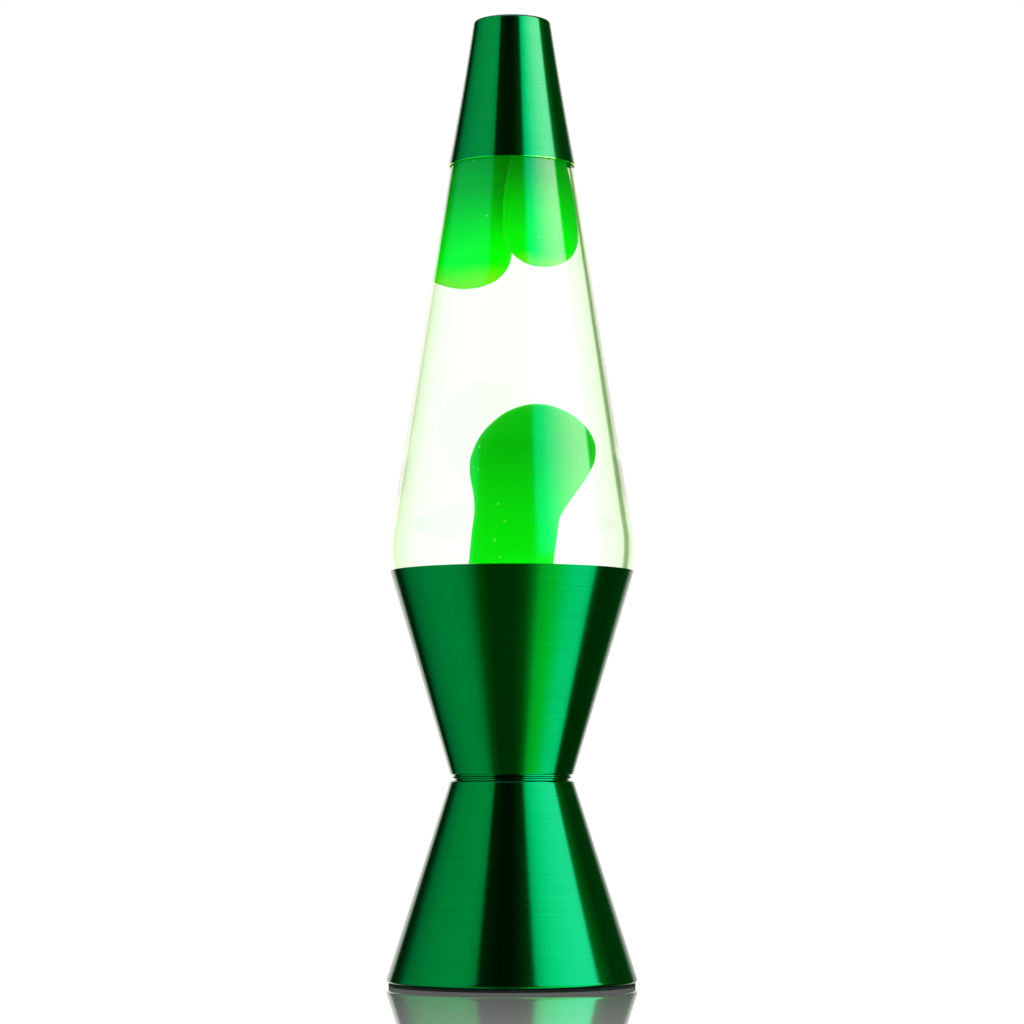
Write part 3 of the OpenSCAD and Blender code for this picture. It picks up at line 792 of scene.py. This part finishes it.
class LAVALAMP_OT_globe(bpy.types.Operator):
    """Glass globe and the liquid that fills it"""

    bl_idname = "lavalamp.globe"
    bl_label = "Globe and liquid"

    def execute(self, context):
        s = context.scene.lamp_globe
        outer = filled(globe_path(), 4)
        finish = [
            (BEAD_R - 0.3, BEAD_Z + 0.4), (BEAD_R, BEAD_Z + 1), (BEAD_R, LIP_Z - 2),
            (BEAD_R - 0.4, LIP_Z - 0.8), (BEAD_R - 1.4, LIP_Z),
            (NECK_R - WALL + 0.8, LIP_Z), (NECK_R - WALL, LIP_Z - 0.8),
        ]
        inner = beside(outer, WALL)
        glass = spin("globe_shell", outer + [Vector(p) for p in finish] + inner[::-1],
                     s.turns, 40)
        dress(glass, globe_glass("globe glass", GLASS_IOR, 0.5), "globe_glass", "globe",
              "glass_globe")
        glass.data.materials.append(globe_glass("wetted glass", GLASS_IOR / LIQUID_IOR))
        first_inner = len(outer) + len(finish)
        for face in glass.data.polygons:
            inside = face.index // s.turns >= first_inner
            face.material_index = int(inside and face.center.z < FILL_Z * MM)
        wall = [p for p in beside(outer, WALL + 0.03) if p.y < FILL_Z]
        top_r = wall[-1].x
        surface = [Vector((top_r, FILL_Z + 0.6)), Vector((top_r - 0.8, FILL_Z + 0.1)),
                   Vector((top_r - 2.4, FILL_Z - 0.1)), Vector((0, FILL_Z - 0.1))]
        liquid = spin("liquid_fill", wall + surface, s.turns, 60)
        dress(liquid, lamp_liquid(s.liquid_tint), "liquid", "globe", "lava_liquid")
        return {"FINISHED"}


# The wax as round slices: x, y, height and radius.
POOL_Z = 141
COLUMN = [
    (-0.7, 0, 155.5, 12.9), (-0.67, 0, 157.6, 12.35), (-0.3, 0, 160.7, 12.15),
    (0.0, 0, 163.7, 12.1), (0.65, 0, 169.4, 12.15), (1.4, 0, 174.7, 12.4),
    (2.6, 0, 179.9, 13.6), (3.5, 0, 183.8, 14.7), (4.5, 0, 188.4, 16.1),
    (5.4, 0, 193.0, 17.2), (6.1, 0, 197.0, 17.8), (6.8, 0, 202.3, 17.4),
    (7.1, 0, 206.8, 15.8), (7.3, 0, 210.3, 13.5), (7.4, 0, 213.4, 10.6), (7.4, 0, 215.4, 7.8),
    (7.4, 0, 216.9, 4.6), (7.4, 0, 217.6, 2.2), (7.4, 0, 217.8, 0),
]
LEFT_BLOB = [
    (-12.2, 6.0, 262.7, 0), (-12.2, 6.0, 263.1, 3.0), (-12.2, 6.0, 264.2, 5.6),
    (-12.2, 6.0, 266.0, 8.1), (-12.2, 6.0, 269.0, 10.3), (-12.2, 6.0, 272.8, 11.7),
    (-12.1, 6.0, 277.0, 12.1), (-11.9, 6.0, 283.0, 11.8), (-11.6, 6.0, 290.0, 11.3),
    (-10.6, 6.0, 297.0, 11.0), (-9.4, 6.1, 304.0, 10.6), (-8.0, 6.2, 311.0, 10.0),
    (-7.4, 6.0, 316.0, 8.4), (-7.2, 6.0, 320.0, 5.2), (-7.2, 6.0, 322.0, 0),
]
RIGHT_BLOB = [
    (9.6, -5.8, 270.4, 0), (9.6, -5.8, 270.8, 3.1), (9.6, -5.8, 272.0, 5.9),
    (9.6, -5.8, 274.2, 8.6), (9.5, -5.8, 277.2, 10.6), (9.5, -5.8, 281.2, 11.8),
    (9.4, -5.8, 286.0, 12.1), (9.2, -5.7, 292.0, 11.9), (9.0, -5.6, 298.0, 11.4),
    (8.8, -5.4, 304.0, 10.6), (8.6, -5.2, 310.0, 9.5), (8.6, -5.0, 315.2, 8.1),
    (8.5, -5.0, 319.6, 5.0), (8.5, -5.0, 321.6, 0),
]


class LAVALAMP_OT_wax(bpy.types.Operator):
    """Rising wax column, its pool, and the two blobs below the cap"""

    bl_idname = "lavalamp.wax"
    bl_label = "Wax"

    def execute(self, context):
        s = context.scene.lamp_wax
        inner = [p for p in beside(filled(globe_path(), 4), WALL + 0.3) if p.y < POOL_Z]
        meets = [(34, 0.0), (30, 0.1), (26, 0.4), (22, 1.3), (19, 2.9), (16.6, 5.6),
                 (14.8, 9.6), (13.6, 14.0), (12.9, 17.2)]
        meets = [(inner[-1].x + 0.2, 0.0)] + meets + [(0, 17.2)]
        stem = spin("wax_pool", inner + [Vector((r, POOL_Z + h)) for r, h in meets], 160, 60)
        # Painted shade: the column darkens towards its top
        wax = wax_with_painted_light("column wax", s, (130, 150, 200), s.tone, [c * 0.47 for c in s.tone])
        dress(stem, wax, "wax", "globe", "wax_column")
        column = lofted("wax_head", COLUMN, 120, 128, 0.5)
        dress(column, wax, "wax", "globe", "wax_column")
        # The blobs get a painted glow at their lower edges and painted shade under the cap
        left = lofted("wax_blob_sinking", LEFT_BLOB, 100, 128, 0.5)
        wax = wax_with_painted_light("left blob wax", s, (263.2, 272.5, 302), s.lit_foot_tone, s.shaded_top_tone)
        dress(left, wax, "wax", "left_blob", "wax_blob_left")
        right = lofted("wax_blob_front", RIGHT_BLOB, 100, 128, 0.4)
        wax = wax_with_painted_light("right blob wax", s, (270.5, 276.5, 306), s.lit_foot_tone, s.shaded_top_tone)
        dress(right, wax, "wax", "right_blob", "wax_blob_right")
        return {"FINISHED"}


class LAVALAMP_OT_closure(bpy.types.Operator):
    """Crimped crown closure and its liner"""

    bl_idname = "lavalamp.closure"
    bl_label = "Crown closure"

    def execute(self, context):
        steel = plain_metal("crown steel", (0.72, 0.73, 0.74), 0.24, 900, (1, 1, 1), 0.00002)
        liner = dull_solid("crown liner", (0.62, 0.62, 0.6), 0.6, 1200, 0.00004)
        top, foot, sheet = LIP_Z + 0.95, LIP_Z - 5.05, 0.3
        mouth, edge, bend = 14.3, BEAD_R + 0.35, 2.2
        flute_top, flute_fade, flute_depth = top - 1.6, 2.6, 0.24
        path = filled(rounded([(mouth, foot), (edge, foot + bend, bend), (edge, top, bend),
                               (0, top)], 8), 0.5)
        under = beside(path, sheet)
        bm = bmesh.new()
        turns, flutes = 252, 21
        rings = []
        for r, z in path + under[::-1]:
            if r < 1e-4:
                rings.append([bm.verts.new((0, 0, z * MM))])
                continue
            fluted = max(0.0, min(1.0, (flute_top - z) / flute_fade))
            ring = []
            for j in range(turns):
                t = 2 * math.pi * j / turns
                reach = r + flute_depth * fluted * math.cos(flutes * t)
                ring.append(bm.verts.new((
                    reach * math.cos(t) * MM, reach * math.sin(t) * MM, z * MM)))
            rings.append(ring)
        for i, low in enumerate(rings):
            bridge(bm, low, rings[(i + 1) % len(rings)])
        dress(to_object("crimped_crown", bm, 50), steel, "crown_steel", "globe", "crown_cap")
        finish_node("crown_liner", liner)
        return {"FINISHED"}


class LAVALAMP_OT_heater(bpy.types.Operator):
    """Steel spring in the foot of the globe"""

    bl_idname = "lavalamp.heater"
    bl_label = "Heat spring"

    def execute(self, context):
        s = context.scene.lamp_heat
        low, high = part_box("heat_coil")
        middle = (low.z + high.z) / 2 / MM
        wire = s.coil_wire / MM
        reach = (high.z - low.z) / 2 / MM - wire
        ring = high.x / MM - reach - wire
        points_per_turn = 14
        steps = s.coil_turns * points_per_turn
        path = []
        for i in range(steps):
            t = 2 * math.pi * i / steps
            a = t * s.coil_turns
            r = ring + reach * math.cos(a)
            path.append(Vector((r * math.cos(t), r * math.sin(t), middle + reach * math.sin(a))))
        coil = tube_along("heat_spring", path, wire, 8, True)
        dress(coil, plain_metal("spring wire", (0.66, 0.66, 0.67), 0.28, 1500), "coil_wire",
              "globe", "heat_coil")
        return {"FINISHED"}


class LAVALAMP_OT_foot(bpy.types.Operator):
    """Black foot ring, bottom plate and cord bushing"""

    bl_idname = "lavalamp.foot"
    bl_label = "Foot"

    def execute(self, context):
        rubber = dull_solid("black rubber", (0.012, 0.012, 0.012), 0.75, 900, 0.00006, 0.25)
        rubber.node_tree.nodes["Principled BSDF"].inputs["IOR"].default_value = 1.15
        paint = dull_solid("black paint", (0.028, 0.028, 0.03), 0.42, 420, 0.00005, 0.2, 0.2)
        finish_node("base_ring", rubber)
        finish_node("cord_bushing", rubber)
        finish_node("base_plate", paint)
        return {"FINISHED"}


class LAVALAMP_OT_fasteners(bpy.types.Operator):
    """Screws, nuts and washers"""

    bl_idname = "lavalamp.fasteners"
    bl_label = "Fasteners"

    def execute(self, context):
        zinc = plain_metal("zinc plate", (0.7, 0.72, 0.74), 0.3, 1600, (1, 1, 1), 0.00002,
                           (0.5, 0.5, 0.46))
        for name in ("waist_screws", "waist_nuts", "waist_washers", "socket_screw",
                     "socket_washer"):
            finish_node(name, zinc)
        return {"FINISHED"}


class LAVALAMP_OT_holder(bpy.types.Operator):
    """Lampholder, its bracket, shell, contact and terminals"""

    bl_idname = "lavalamp.holder"
    bl_label = "Lampholder"

    def execute(self, context):
        zinc = plain_metal("bracket zinc", (0.64, 0.67, 0.7), 0.36, 500, (1, 1, 6), 0.00003,
                           (0.46, 0.47, 0.46))
        brass = plain_metal("holder brass", (0.8, 0.58, 0.24), 0.26, 1300, (1, 1, 1),
                            0.00002, (0.45, 0.3, 0.12))
        glaze = dull_solid("white glaze", (0.86, 0.84, 0.78), 0.22, 260, 0.00005, 0.06, 0.6)
        finish_node("socket_bracket", zinc)
        finish_node("socket_body", glaze)
        for name in ("socket_shell", "socket_contact", "contact_rivet", "socket_terminals",
                     "terminal_screws"):
            finish_node(name, brass)
        return {"FINISHED"}


class LAVALAMP_OT_lamp(bpy.types.Operator):
    """Screw-in lamp with its filament"""

    bl_idname = "lavalamp.lamp"
    bl_label = "Lamp"

    def execute(self, context):
        s = context.scene.lamp_heat
        finish_node("bulb_glass", thin_glass("lamp glass", (0.97, 0.99, 0.99), 0.02))
        finish_node("bulb_stem", thin_glass("stem glass", (0.93, 0.97, 0.96), 0.05))
        finish_node("bulb_base", plain_metal("lamp brass", (0.78, 0.6, 0.28), 0.28, 1400,
                                             (1, 1, 1), 0.00002, (0.5, 0.36, 0.16)))
        finish_node("bulb_insulator", dull_solid("black glass", (0.02, 0.02, 0.024), 0.12, 300,
                                                 0.00003, 0.2, 0.8))
        finish_node("bulb_tip", plain_metal("lamp solder", (0.58, 0.58, 0.56), 0.4, 700))
        finish_node("filament_leads", plain_metal("lead wire", (0.55, 0.53, 0.5), 0.35, 1800))
        middle_z, arc_r, coil_r, wire = 103.0, 7.0, 0.27, 0.07
        tilt = math.radians(60)
        first, sweep = math.radians(12), math.radians(156)
        points_per_turn = 12
        steps = s.filament_turns * points_per_turn
        path = []
        for i in range(steps + 1):
            u = i / steps
            t = first + sweep * u
            a = 2 * math.pi * s.filament_turns * u
            r = arc_r + coil_r * math.cos(a)
            x, y, z = r * math.cos(t), r * math.sin(t), coil_r * math.sin(a)
            path.append(Vector((x, y * math.cos(tilt) - z * math.sin(tilt),
                                middle_z + y * math.sin(tilt) + z * math.cos(tilt))))
        coil = tube_along("filament_coil", path, wire, 6)
        dress(coil, plain_metal("tungsten", (0.3, 0.3, 0.31), 0.45, 2000), "tungsten", "lamp",
              "filament")
        return {"FINISHED"}


class LAVALAMP_PT_panel(bpy.types.Panel):
    """Lists the lamp's pieces"""

    bl_idname = "LAVALAMP_PT_panel"
    bl_label = "Lava lamp"
    bl_space_type = "VIEW_3D"
    bl_region_type = "UI"
    bl_category = "Lava lamp"

    def draw(self, context):
        for operator in OPERATORS:
            self.layout.operator(operator.bl_idname)
        for group in GROUPS:
            settings = getattr(context.scene, group)
            box = self.layout.box()
            for key in settings.bl_rna.properties.keys():
                if key not in ("rna_type", "name"):
                    box.prop(settings, key)


OPERATORS = (
    LAVALAMP_OT_stage, LAVALAMP_OT_shell, LAVALAMP_OT_globe, LAVALAMP_OT_wax,
    LAVALAMP_OT_closure, LAVALAMP_OT_heater, LAVALAMP_OT_foot, LAVALAMP_OT_fasteners,
    LAVALAMP_OT_holder, LAVALAMP_OT_lamp,
)


def register():
    for cls in (*GROUPS.values(), *OPERATORS, LAVALAMP_PT_panel):
        bpy.utils.register_class(cls)
    for name, cls in GROUPS.items():
        setattr(bpy.types.Scene, name, PointerProperty(type=cls))


def unregister():
    for name in GROUPS:
        delattr(bpy.types.Scene, name)
    for cls in (LAVALAMP_PT_panel, *OPERATORS[::-1], *list(GROUPS.values())[::-1]):
        bpy.utils.unregister_class(cls)


def main():
    register()
    for operator in OPERATORS:
        family, verb = operator.bl_idname.split(".")
        getattr(getattr(bpy.ops, family), verb)()


if __name__ == "__main__":
    main()
